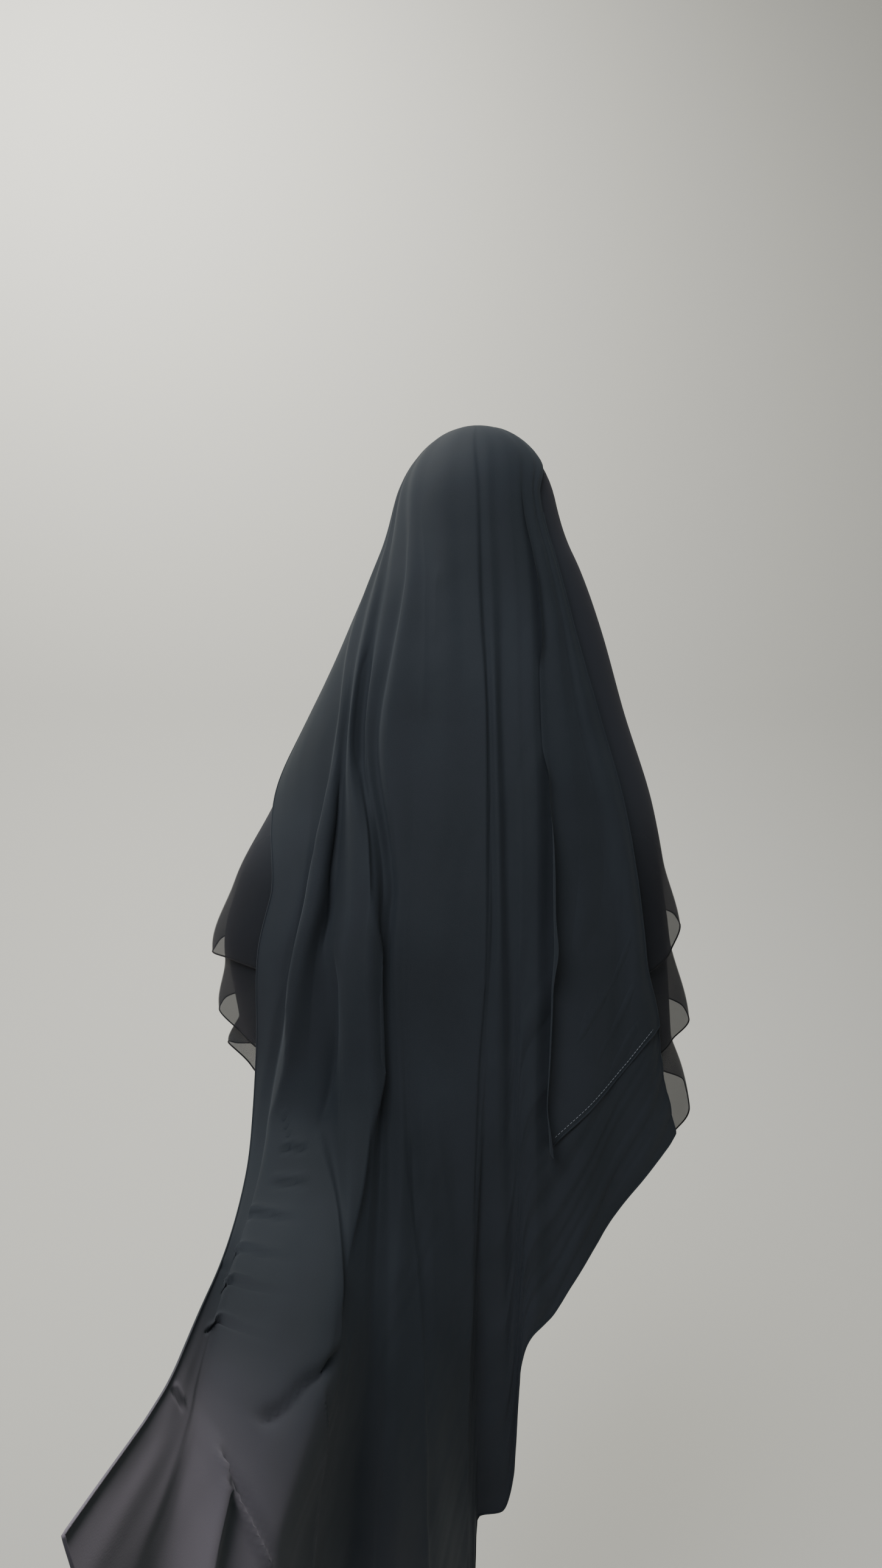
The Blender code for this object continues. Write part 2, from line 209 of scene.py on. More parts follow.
def spreadCloth(piece, across, down):
    """UV map in metres of flat cloth, from each vertex's place on it"""
    corners = np.empty(len(piece.data.loops), dtype=np.int32)
    piece.data.loops.foreach_get("vertex_index", corners)
    flat = np.stack([across[corners], down[corners]], 1)
    piece.data.uv_layers.active.data.foreach_set("uv", flat.ravel())


def faceOut(piece):
    """turn a sheet's faces the way the form points, judged at its middle"""
    mesh = piece.data
    centres = np.empty(len(mesh.polygons) * 3)
    normals = np.empty(len(mesh.polygons) * 3)
    mesh.polygons.foreach_get("center", centres)
    mesh.polygons.foreach_get("normal", normals)
    centres, normals = centres.reshape(-1, 3), normals.reshape(-1, 3)
    upper = centres[:, 2] > -0.5
    if np.sum((centres * normals)[upper][:, :2]) < 0:
        mesh.flip_normals()


def rolledHem(name, path, radius, closed, finish):
    """a thin roll along an edge; a list of paths gives one roll each"""
    deselectAll()
    curve = bpy.data.curves.new(name, "CURVE")
    curve.dimensions = "3D"
    curve.bevel_depth = radius
    curve.bevel_resolution = 1
    curve.use_fill_caps = True
    for part in path if isinstance(path, list) else [path]:
        spline = curve.splines.new("POLY")
        spline.points.add(len(part) - 1)
        spline.points.foreach_set("co", np.hstack([part, np.ones((len(part), 1))]).ravel())
        spline.use_cyclic_u = closed
    piece = bpy.data.objects.new(name, curve)
    bpy.context.scene.collection.objects.link(piece)
    piece.select_set(True)
    bpy.context.view_layer.objects.active = piece
    bpy.ops.object.convert(target="MESH")
    piece = bpy.context.object
    bpy.ops.object.shade_smooth()
    piece.data.materials.clear()
    piece.data.materials.append(finish)
    return piece


# Materials

def hexToLinear(code):
    values = [int(code[k:k + 2], 16) / 255 for k in (0, 2, 4)]
    return [v / 12.92 if v <= 0.04045 else ((v + 0.055) / 1.055) ** 2.4 for v in values] + [1.0]


def addNode(tree, kind, settings=None, inputs=None):
    """a node with its settings; an input is a value or another node's output"""
    node = tree.nodes.new(kind)
    for key, value in (settings or {}).items():
        setattr(node, key, value)
    for key, value in (inputs or {}).items():
        if isinstance(value, bpy.types.NodeSocket):
            tree.links.new(value, node.inputs[key])
        else:
            node.inputs[key].default_value = value
    return node


def rampNode(tree, source, stops):
    node = addNode(tree, "ShaderNodeValToRGB", {}, {"Fac": source})
    ramp = node.color_ramp
    ramp.elements[0].position, ramp.elements[0].color = stops[0]
    ramp.elements[1].position, ramp.elements[1].color = stops[-1]
    for place, colour in stops[1:-1]:
        ramp.elements.new(place).color = colour
    return node


crepeLook = {
    "shade": "2c3137",  # worn black, a little lighter where it is rubbed
    "dark": "24292e",
    "roughness": 0.80,
    "sheen": 0.10,
    "sheenRoughness": 0.6,
    "sheenTint": "a9b4bd",
    "grainMm": 1.1,  # crepe pebble, drawn about twice its real size so that it shows
    "threadMm": 0.7,
    "bumpMm": 0.10,
}


def crepeMaterial():
    """polyester crepe: tightly twisted yarn gives a dull pebbled face with a soft bloom"""
    look = crepeLook
    material = bpy.data.materials.new("black crepe")
    material.use_nodes = True
    tree = material.node_tree
    shader = tree.nodes["Principled BSDF"]
    uv = addNode(tree, "ShaderNodeUVMap")
    place = addNode(tree, "ShaderNodeTexCoord")
    pebble = addNode(tree, "ShaderNodeTexNoise", {}, {
        "Vector": uv.outputs["UV"], "Scale": 1000 / look["grainMm"], "Detail": 2.0, "Roughness": 0.6})
    stretch = addNode(tree, "ShaderNodeMapping", {}, {
        "Vector": uv.outputs["UV"], "Scale": (1000 / look["threadMm"], 250 / look["threadMm"], 1.0)})
    threads = addNode(tree, "ShaderNodeTexNoise", {}, {
        "Vector": stretch.outputs["Vector"], "Scale": 1.0, "Detail": 1.0})
    height = addNode(tree, "ShaderNodeMath", {"operation": "ADD"}, {
        0: pebble.outputs["Fac"], 1: threads.outputs["Fac"]})
    worn = addNode(tree, "ShaderNodeTexNoise", {}, {
        "Vector": place.outputs["Object"], "Scale": 6.0, "Detail": 3.0, "Roughness": 0.55})
    tone = rampNode(tree, worn.outputs["Fac"], [
        (0.32, hexToLinear(look["dark"])), (0.70, hexToLinear(look["shade"]))])
    fleck = addNode(tree, "ShaderNodeMix", {"data_type": "RGBA", "blend_type": "MULTIPLY"}, {
        "Factor": 0.35, "A": tone.outputs["Color"], "B": pebble.outputs["Fac"]})
    relief = addNode(tree, "ShaderNodeBump", {}, {
        "Strength": 0.35, "Distance": look["bumpMm"] / 1000, "Height": height.outputs["Value"]})
    tree.links.new(fleck.outputs["Result"], shader.inputs["Base Color"])
    tree.links.new(relief.outputs["Normal"], shader.inputs["Normal"])
    shader.inputs["Roughness"].default_value = look["roughness"]
    shader.inputs["Sheen Weight"].default_value = look["sheen"]
    shader.inputs["Sheen Roughness"].default_value = look["sheenRoughness"]
    shader.inputs["Sheen Tint"].default_value = hexToLinear(look["sheenTint"])
    shader.inputs["Specular IOR Level"].default_value = 0.25
    return material


chiffonLook = {
    "shade": "17181b",
    "dark": "141518",
    "paintedLitTop": "2b2f35",  # painted highlight: a lighter tone on the hood's upper part, where plies lie together, standing in for the light from above
    "sheenTint": "c9bccb",
    "roughness": 0.80,
    "sheen": 0.06,
    "cover": 0.60,  # of one face of the wall: a ply has two, and lets about a sixth through
    "threadMm": 0.9,
    "bumpMm": 0.05,
}


def chiffonMaterial(name, cover, topCover=None):
    """polyester chiffon: fine open plain weave, sheer in one ply and black where plies lie together; with
    topCover the hood's upper part also gets a painted lighter tone for the light from above
    """
    look = chiffonLook
    material = bpy.data.materials.new(name)
    material.use_nodes = True
    tree = material.node_tree
    shader = tree.nodes["Principled BSDF"]
    uv = addNode(tree, "ShaderNodeUVMap")
    waves = []
    for direction in ("X", "Y"):
        waves.append(addNode(tree, "ShaderNodeTexWave", {"bands_direction": direction}, {
            "Vector": uv.outputs["UV"], "Scale": 1000 / look["threadMm"] / 6.28, "Distortion": 0.6,
            "Detail": 1.0}))
    weave = addNode(tree, "ShaderNodeMath", {"operation": "MAXIMUM"}, {
        0: waves[0].outputs["Fac"], 1: waves[1].outputs["Fac"]})
    slub = addNode(tree, "ShaderNodeTexNoise", {}, {
        "Vector": uv.outputs["UV"], "Scale": 60.0, "Detail": 2.0})
    shade = rampNode(tree, slub.outputs["Fac"], [
        (0.30, hexToLinear(look["dark"])), (0.70, hexToLinear(look["shade"]))])
    relief = addNode(tree, "ShaderNodeBump", {}, {
        "Strength": 0.25, "Distance": look["bumpMm"] / 1000, "Height": weave.outputs["Value"]})
    tree.links.new(shade.outputs["Color"], shader.inputs["Base Color"])
    tree.links.new(relief.outputs["Normal"], shader.inputs["Normal"])
    shader.inputs["Roughness"].default_value = look["roughness"]
    shader.inputs["Sheen Weight"].default_value = look["sheen"]
    shader.inputs["Sheen Tint"].default_value = hexToLinear(look["sheenTint"])
    shader.inputs["Sheen Roughness"].default_value = 0.5
    shader.inputs["Specular IOR Level"].default_value = 0.25
    shader.inputs["Alpha"].default_value = cover
    if topCover:
        # the hood's upper part lies in several plies, so it covers more; its colour is also mixed lighter
        # there, painted light from above
        place = addNode(tree, "ShaderNodeTexCoord")
        parts = addNode(tree, "ShaderNodeSeparateXYZ", {}, {"Vector": place.outputs["Object"]})
        pliesAndPaintedLight = addNode(tree, "ShaderNodeMapRange", {"interpolation_type": "SMOOTHSTEP"}, {
            "Value": parts.outputs["Z"], "From Min": -0.56, "From Max": -0.42,
            "To Min": cover, "To Max": topCover})
        tree.links.new(pliesAndPaintedLight.outputs["Result"], shader.inputs["Alpha"])
        paintedLitTop = addNode(tree, "ShaderNodeMix", {"data_type": "RGBA"}, {
            "Factor": pliesAndPaintedLight.outputs["Result"], "A": shade.outputs["Color"], "B": hexToLinear(look["paintedLitTop"])})
        tree.links.new(paintedLitTop.outputs["Result"], shader.inputs["Base Color"])
    return material


crepe = crepeMaterial()
chiffon = chiffonMaterial("black chiffon", chiffonLook["cover"], 0.98)
rolled = chiffonMaterial("rolled chiffon", 1.0)
print("materials made")

# Tiers

tierLook = {
    "wall": 0.0008,
    "seatGap": 0.0005,
    "layerGap": 0.0040,
    "frontFoldDepth": 0.012,
    "frontFolds": 9,
    "flare": {"top": 0.012, "middle": 0.021, "lower": 0.021},
    "hemRadius": 0.0009,
    "neckDrop": 0.240,
    "columns": 300,
    "rows": 140,
    # hem drops at turns round the form: back, behind the right side, right, past it, front,
    # then the same round the left side back to the back
    "turns": (-2.0, -1.15, -1.0, -0.80, 0.0, 0.72, 1.0, 1.10, 2.0),
    "hems": {
        "top": (0.548, 0.600, 0.611, 0.612, 0.655, 0.612, 0.580, 0.571, 0.548),
        "middle": (0.660, 0.672, 0.680, 0.700, 0.757, 0.712, 0.692, 0.683, 0.660),
        "lower": (0.779, 0.730, 0.718, 0.735, 0.850, 0.818, 0.796, 0.770, 0.779),
    },
}


def tierHem(tier, turn):
    return steadyCurve(tierLook["turns"], tierLook["hems"][tier], turn)


def tierPoints(tier, turn, drop, lift=0.0):
    """points of a tier's inner face, lift further out"""
    look = tierLook
    depth = {"top": 0, "middle": 1, "lower": 2}[tier]
    points, out = formPoints(turn, drop)
    air = look["seatGap"] + (look["layerGap"] - look["seatGap"]) * ease(drop, 0.26, 0.54)
    wave = 0.5 - 0.5 * np.cos(math.pi * look["frontFolds"] * (np.abs(turn) - 1))
    folds = look["frontFoldDepth"] * wave * ease(np.abs(turn), 1.0, 1.35) * ease(drop, 0.24, 0.60)
    hem = tierHem(tier, turn)
    kickFrom = hem - 0.09 if tier == "top" else tierHem({"middle": "top", "lower": "middle"}[tier], turn)
    low = ease((drop - kickFrom) / (hem - kickFrom), 0, 1)
    kick = look["flare"][tier] * ease(np.abs(turn), 0.80, 1.05) * low
    reach = folds + kick + lift - depth * (0.001 + air)
    return points + out * reach[:, None]


def rowLengths(share, hem, start):
    """lengths down the cloth: even over the dome, then even to the hem"""
    rise = bodyForm["headRise"]
    domeShare = 0.13
    if start > 0:
        return start + (hem - start) * share
    dome = rise * (1 - np.cos(rightAngle * np.clip(share / domeShare, 0, 1)))
    below = rise + (hem - rise) * (share - domeShare) / (1 - domeShare)
    return np.where(share < domeShare, dome, below)


def makeTier(name, tier, start):
    look = tierLook
    piece = clothGrid(name, look["columns"], look["rows"])
    across, down = gridShares(piece)
    turn = 4 * across - 2
    drop = rowLengths(down, tierHem(tier, turn), start)
    drape(piece, tierPoints(tier, turn, drop), 1.9, 0.8)
    faceOut(piece)
    if tier == "top":
        openFace(piece)
    giveWall(piece, look["wall"])
    piece.data.materials.append(chiffon)
    edgeTurn = np.linspace(-2, 2, 481)[:-1]
    edge = tierPoints(tier, edgeTurn, tierHem(tier, edgeTurn), look["wall"] / 2)
    hem = rolledHem(name + "_hem", edge, look["hemRadius"], True, rolled)
    print(name, len(piece.data.polygons), "faces")
    return piece, hem


faceLook = {
    "halfWidth": 0.062,
    "halfHeight": 0.085,
    "drop": 0.125,
    "hemRadius": 0.0011,
}


def openFace(hood):
    """open the oval for the face and draw the cut edge onto the oval"""
    look = faceLook
    deselectAll()
    hood.select_set(True)
    bpy.context.view_layer.objects.active = hood
    bpy.ops.object.mode_set(mode="EDIT")
    bpy.ops.mesh.select_mode(type="VERT")
    bpy.ops.mesh.select_all(action="DESELECT")
    bpy.ops.object.mode_set(mode="OBJECT")

    def ovalShare(spot):
        return math.hypot(spot.x / look["halfWidth"], (spot.z + look["drop"]) / look["halfHeight"])

    for vertex in hood.data.vertices:
        vertex.select = vertex.co.y > 0.03 and ovalShare(vertex.co) < 1
    picked = {v.index for v in hood.data.vertices if v.select}
    rim = set()
    for face in hood.data.polygons:
        corners = list(face.vertices)
        if any(c in picked for c in corners):
            rim.update(c for c in corners if c not in picked)
    for number in rim:
        spot = hood.data.vertices[number].co
        share = ovalShare(spot)
        spot.x /= share
        spot.z = -look["drop"] + (spot.z + look["drop"]) / share
    bpy.ops.object.mode_set(mode="EDIT")
    bpy.ops.mesh.delete(type="VERT")
    bpy.ops.object.mode_set(mode="OBJECT")


hood, hoodHem = makeTier("chiffonHood", "top", 0.0)
middleTier, middleHem = makeTier("chiffonMiddleTier", "middle", tierLook["neckDrop"])
lowerTier, lowerHem = makeTier("chiffonLowerTier", "lower", tierLook["neckDrop"])

# Back panels

panelLook = {
    "seatGap": 0.0008,
    "layerGap": 0.0040,
    "foldDepth": 0.030,
    "length": 1.32,
    "pullDrop": 0.70,
    "pullSharpness": 4.0,
    "levels": (0.0345, 0.0955, 0.1995, 0.350, 0.539),
    "columns": 320,
    "rows": 300,
    "hemRadius": 0.0009,
    "airAbove": 0.0022,
    "airBelow": 0.012,
    # small unevenness of worn cloth: height, width and height of a cell, lengths it grows between
    "puckers": [
        (0.0006, 0.034, 0.20, 0.05, 0.25),
        (0.0003, 0.012, 0.13, 0.15, 0.50),
        (0.0016, 0.060, 0.22, 0.20, 0.60),
    ],
}

# Fold lines from the left edge to the right. First the places round the form in quarter
# turns at top, brow, nape, shoulder, elbow, hip, thigh, knee and hem, then the depths at
# nape, shoulder, elbow, thigh and hem, then the length and the pull in degrees.
foldTable = [
    (-1.10, -1.02, -1.00, -0.98, -0.57, -0.68, -0.74, -0.63, -0.56,
     0.10, 0.12, 0.10, 0.15, 0.15, 1.210, 106),
    (-1.06, -0.98, -0.93, -0.67, -0.47, -0.65, -0.72, -0.61, -0.54,
     0.20, 0.20, 0.15, 0.18, 0.15, 1.205, 104),
    (-1.02, -0.94, -0.86, -0.57, -0.44, -0.61, -0.69, -0.59, -0.52,
     0.22, 0.15, 0.08, 0.18, 0.18, 1.195, 101),
    (-0.98, -0.92, -0.79, -0.53, -0.40, -0.55, -0.65, -0.57, -0.50,
     0.30, 0.40, 0.60, 0.32, 0.24, 1.185, 98),
    (-0.94, -0.88, -0.72, -0.50, -0.36, -0.38, -0.33, -0.39, -0.38,
     0.20, 0.25, 0.15, 0.32, 0.45, 1.130, 80),
    (-0.91, -0.85, -0.65, -0.47, -0.29, -0.31, -0.30, -0.36, -0.35,
     0.30, 0.50, 0.70, 0.60, 0.50, 1.095, 63),
    (-0.87, -0.81, -0.60, -0.44, -0.25, -0.26, -0.28, -0.33, -0.32,
     0.12, 0.08, 0.60, 0.48, 0.35, 1.075, 51),
    (-0.81, -0.74, -0.53, -0.41, -0.23, -0.24, -0.26, -0.30, -0.28,
     0.24, 0.32, 0.26, 0.24, 0.15, 1.062, 44),
    (-0.75, -0.65, -0.44, -0.37, -0.21, -0.22, -0.23, -0.25, -0.24,
     0.13, 0.14, 0.13, 0.14, 0.10, 1.055, 40),
    (-0.64, -0.55, -0.38, -0.32, -0.19, -0.19, -0.20, -0.20, -0.20,
     0.30, 0.48, 0.30, 0.20, 0.30, 1.048, 36),
    (-0.49, -0.45, -0.29, -0.20, -0.16, -0.17, -0.15, -0.14, -0.13,
     0.12, 0.22, 0.25, 0.10, 0.08, 1.035, 28),
    (-0.31, -0.28, -0.18, -0.11, -0.09, -0.12, -0.11, -0.10, -0.10,
     0.22, 0.30, 0.30, 0.25, 0.35, 1.020, 20),
    (-0.18, -0.16, -0.10, -0.05, -0.04, -0.07, -0.07, -0.07, -0.06,
     0.15, 0.28, 0.30, 0.28, 0.45, 1.012, 12),
    (-0.08, -0.04, -0.02, 0.01, 0.01, -0.02, -0.03, -0.04, -0.03,
     0.20, 0.30, 0.34, 0.40, 1.00, 1.000, 4),
    (-0.03, 0.00, 0.01, 0.03, 0.03, 0.01, 0.00, -0.01, -0.01,
     0.10, 0.20, 0.22, 0.18, 0.10, 0.885, 0),
    (0.06, 0.05, 0.05, 0.05, 0.05, 0.04, 0.04, 0.05, 0.05,
     0.15, 0.30, 0.32, 0.28, 0.15, 0.880, 0),
    (0.15, 0.11, 0.10, 0.08, 0.08, 0.08, 0.08, 0.08, 0.08,
     0.08, 0.12, 0.15, 0.12, 0.15, 0.850, 0),
    (0.26, 0.22, 0.18, 0.14, 0.12, 0.11, 0.11, 0.11, 0.10,
     0.17, 0.27, 0.29, 0.30, 0.36, 0.764, 0),
    (0.37, 0.28, 0.24, 0.19, 0.16, 0.15, 0.14, 0.14, 0.13,
     0.20, 0.32, 0.34, 0.34, 0.38, 0.744, 0),
    (0.46, 0.33, 0.30, 0.25, 0.21, 0.20, 0.19, 0.19, 0.18,
     0.08, 0.16, 0.19, 0.19, 0.18, 0.734, 0),
    (0.56, 0.39, 0.35, 0.32, 0.30, 0.29, 0.29, 0.28, 0.25,
     0.15, 0.22, 0.28, 0.30, 0.35, 0.703, 0),
    (0.66, 0.42, 0.40, 0.40, 0.43, 0.43, 0.42, 0.40, 0.37,
     0.03, 0.04, 0.08, 0.08, 0.10, 0.664, 0),
    (0.74, 0.45, 0.43, 0.45, 0.50, 0.50, 0.53, 0.53, 0.51,
     0.10, 0.15, 0.25, 0.28, 0.30, 0.630, 0),
    (0.83, 0.49, 0.47, 0.52, 0.55, 0.55, 0.59, 0.61, 0.66,
     0.02, 0.05, 0.10, 0.15, 0.25, 0.606, 0),
]
folds = np.array(foldTable)
foldNumbers = np.arange(len(folds))


def readFold(column):
    """one line down the cloth, read between the fold lines"""
    smooth = steadyCurve(foldNumbers, folds, column)[0]
    first = min(int(column), len(folds) - 2)
    t = column - first
    depths = folds[first][9:14] + (folds[first + 1][9:14] - folds[first][9:14]) * t * t * (3 - 2 * t)
    return smooth[:9], depths, smooth[14] * panelLook["length"], math.radians(smooth[15])


def panelLine(column, lengths, lift=0.0):
    """points down one line of the long panel's inner face, lift further out"""
    look = panelLook
    places, depths, hem, pull = readFold(column)
    elbow = look["levels"][-1]
    levels = list(look["levels"]) + [elbow + (hem - elbow) * share for share in (0.25, 0.5, 0.75, 1.0)]
    lengths = np.asarray(lengths, float)
    turn = steadyCurve(levels, places, lengths)
    reads = (0.0, levels[2], levels[3], levels[4], levels[6], levels[8])
    relief = steadyCurve(reads, [0.0, *depths], lengths)
    points, out = formPoints(turn, lengths)
    # the pulled part leaves the body and leans over, step by step along the cloth
    fine = np.linspace(0, max(hem - look["pullDrop"], 0.06), 200)
    lean = pull * (1 - (1 - fine / fine[-1]) ** look["pullSharpness"])
    step = fine[1] - fine[0]
    reach = np.concatenate([[0], np.cumsum(np.sin((lean[1:] + lean[:-1]) / 2)) * step])
    fall = np.concatenate([[0], np.cumsum(np.cos((lean[1:] + lean[:-1]) / 2)) * step])
    loose = np.clip(lengths - look["pullDrop"], 0, fine[-1])
    points[:, 1] -= np.interp(loose, fine, reach)
    points[:, 2] = -np.minimum(lengths, look["pullDrop"]) - np.interp(loose, fine, fall)
    leanNow = np.interp(loose, fine, lean)
    low = lengths > bodyForm["headRise"]
    bent = np.stack([out[:, 0], out[:, 1] * np.cos(leanNow), -out[:, 1] * np.sin(leanNow)], 1)
    out = np.where(low[:, None], bent, out)
    air = look["seatGap"] + (look["layerGap"] - look["seatGap"]) * (
        0.3 * ease(lengths, 0.0345, 0.0955) + 0.7 * ease(lengths, 0.0955, 0.35))
    return points + out * (0.001 + air + look["foldDepth"] * relief + lift)[:, None]


def panelHem(column):
    return readFold(column)[2]


def columnSpread(first, count):
    """fold columns for the grid, spaced by the cloth between them"""
    last = len(folds) - 1
    fine = np.linspace(first, last, 12 * last)
    lines = np.array([panelLine(c, [0.15, 0.45, 0.75]) for c in fine])
    gaps = np.linalg.norm(np.diff(lines, axis=0), axis=2).mean(axis=1)
    spread = np.concatenate([[0], np.cumsum(gaps + 0.35 * gaps.mean())])
    return np.interp(np.linspace(0, 1, count), spread / spread[-1], fine)


def softNoise(u, v, cellU, cellV, seed):
    """smooth random relief from -1 to 1 on a grid of cells"""
    values = np.random.default_rng(seed).uniform(-1, 1, (61, 67))
    a, b = u / cellU, v / cellV
    i, j = np.floor(a).astype(int), np.floor(b).astype(int)
    s, t = ease(a - i, 0, 1), ease(b - j, 0, 1)
    near = values[i % 61, j % 67] * (1 - s) + values[(i + 1) % 61, j % 67] * s
    far = values[i % 61, (j + 1) % 67] * (1 - s) + values[(i + 1) % 61, (j + 1) % 67] * s
    return near * (1 - t) + far * t


# Sharp creases that run down the cloth: depth in mm (a furrow is negative), how far it
# fades to the left and to the right in mm, then length and fold column along its path.
longCreases = {
    "middle": (1.7, 14, 6, ((0.05, 12.9), (0.16, 13.1), (0.40, 13.1), (0.55, 13.0), (0.66, 13.3),
                            (0.90, 13.1), (1.35, 13.2))),
    "beside the middle": (1.2, 12, 12, ((0.20, 15.5), (0.26, 15.1), (0.39, 14.9), (0.55, 15.1), (0.74, 15.4),
                                       (1.05, 15.3))),
    "sharp": (1.5, 26, 12, ((0.08, 17.8), (0.14, 18.1), (0.27, 18.0), (0.60, 18.0), (0.95, 18.1))),
    "right of sharp": (1.4, 12, 14, ((0.12, 20.1), (0.18, 20.4), (0.27, 20.2))),
    "far right": (1.6, 14, 16, ((0.14, 22.6), (0.19, 21.2), (0.27, 20.8), (0.50, 20.9))),
    "bright bank": (1.6, 6, 26, ((0.08, 9.5), (0.12, 8.95), (0.20, 8.6), (0.30, 9.05), (0.44, 8.9))),
    "left of middle": (2.4, 14, 8, ((0.07, 9.9), (0.16, 10.0), (0.27, 10.0), (0.38, 10.0))),
    "short": (1.2, 8, 7, ((0.17, 10.8), (0.20, 10.55), (0.27, 10.45))),
    "soft step": (1.6, 22, 20, ((0.30, 10.0), (0.46, 9.9), (0.62, 9.7))),
    "below": (3.0, 12, 6, ((0.76, 9.0), (0.81, 9.35), (0.87, 9.8), (1.01, 10.05), (1.36, 10.2))),
    "below, thin": (-1.8, 4, 4, ((0.77, 10.2), (0.82, 9.95), (0.90, 9.85))),
    "below, short": (1.8, 6, 4, ((0.75, 10.65), (0.79, 10.6), (0.84, 10.4))),
    "below, right": (1.5, 10, 6, ((0.73, 11.1), (0.80, 11.45), (0.89, 11.95))),
    "below, left": (3.0, 16, 10, ((0.95, 8.1), (0.99, 7.7), (1.03, 7.65), (1.07, 7.9), (1.30, 7.95))),
    "fold edge": (11.0, 28, 5, ((0.38, 5.6), (0.49, 5.65), (0.56, 6.2), (0.60, 6.8), (0.69, 7.0), (0.75, 6.3),
                               (0.80, 5.8), (0.86, 5.35), (0.95, 4.6))),
    "sweep edge": (6.0, 26, 5, ((0.76, 3.7), (0.82, 3.9), (0.88, 4.15), (0.97, 4.15), (1.02, 4.45))),
    "narrow furrow": (-6.0, 5, 6, ((0.40, 3.6), (0.50, 3.6), (0.56, 3.9), (0.60, 3.8))),
    "deep furrow": (-10.0, 8, 12, ((0.58, 4.35), (0.65, 4.25), (0.72, 4.05), (0.80, 3.7))),
    "left bank": (9.0, 6, 16, ((0.36, 3.5), (0.42, 3.0), (0.52, 2.8), (0.62, 2.85), (0.72, 3.1), (0.76, 3.0),
                               (0.81, 2.2))),
    "bundle": (-6.0, 4, 5, ((0.26, 5.6), (0.33, 5.75), (0.41, 5.65))),
    "swag": (-9.0, 5, 12, ((1.01, 4.5), (1.05, 4.0), (1.08, 3.8), (1.12, 3.7), (1.18, 3.5))),
    "under the sweep": (4.0, 20, 5, ((1.03, 4.4), (1.08, 4.05), (1.12, 4.8), (1.20, 5.2), (1.45, 5.2))),
    "wedge": (9.0, 24, 4, ((1.22, 3.3), (1.29, 3.45), (1.48, 3.5))),
    "pale line": (0.9, 6, 5, ((0.42, 1.0), (0.55, 1.35), (0.61, 1.8), (0.66, 1.2), (0.70, 0.8))),
}

# Creases across the cloth, where the pull gathers it: depth and width in mm, then fold
# column and length at each end.
crossCreases = [
    (-3.0, 3.0, 3.25, 0.818, 3.60, 0.812),
    (-3.5, 3.2, 3.20, 0.862, 3.62, 0.852),
    (-4.5, 3.6, 2.60, 0.912, 3.48, 0.900),
    (-4.5, 3.6, 2.05, 0.978, 3.42, 0.952),
    (-4.5, 3.6, 2.00, 1.042, 3.42, 1.000),
    (-4.0, 3.6, 1.70, 1.128, 3.32, 1.070),
    (-2.0, 3.0, 3.20, 0.775, 3.42, 0.812),
    (4.0, 6.0, 3.35, 1.262, 4.00, 1.272),
    (-1.5, 5.0, 0.40, 1.300, 1.60, 1.285),
    (-1.0, 6.0, 0.20, 1.010, 2.20, 1.000),
]


def creaseRelief(columns, lengths, arcs):
    """how far the creases lift each point of the grid, in metres"""
    lift = np.zeros_like(lengths)
    for depth, left, right, path in longCreases.values():
        at, place = np.array(path).T
        middle = steadyCurve(at, place, lengths.ravel()).reshape(lengths.shape)
        start, end = at[0], at[-1]
        runIn = 0.25 * (end - start)
        fade = ease(lengths, start, start + runIn) * (1 - ease(lengths, end - runIn, end))
        for row in range(lengths.shape[1]):
            live = fade[:, row]
            if not live.any():
                continue
            off = 1000 * (arcs[:, row] - np.interp(middle[:, row], columns, arcs[:, row]))
            side = np.where(off < 0, np.exp(off / left), np.exp(-off / right))
            lift[:, row] += 0.001 * depth * side * live
    for depth, wide, columnA, lengthA, columnB, lengthB in crossCreases:
        share = (columns[:, None] - columnA) / (columnB - columnA)
        middle = lengthA + (lengthB - lengthA) * share
        off = 1000 * (lengths - middle) / wide
        fade = ease(share, -0.15, 0.25) * (1 - ease(share, 0.8, 1.15))
        lift += 0.001 * depth * fade * (np.exp(-off**2) - 0.7 * np.exp(-((off + 2.1) / 1.5) ** 2))
    return lift


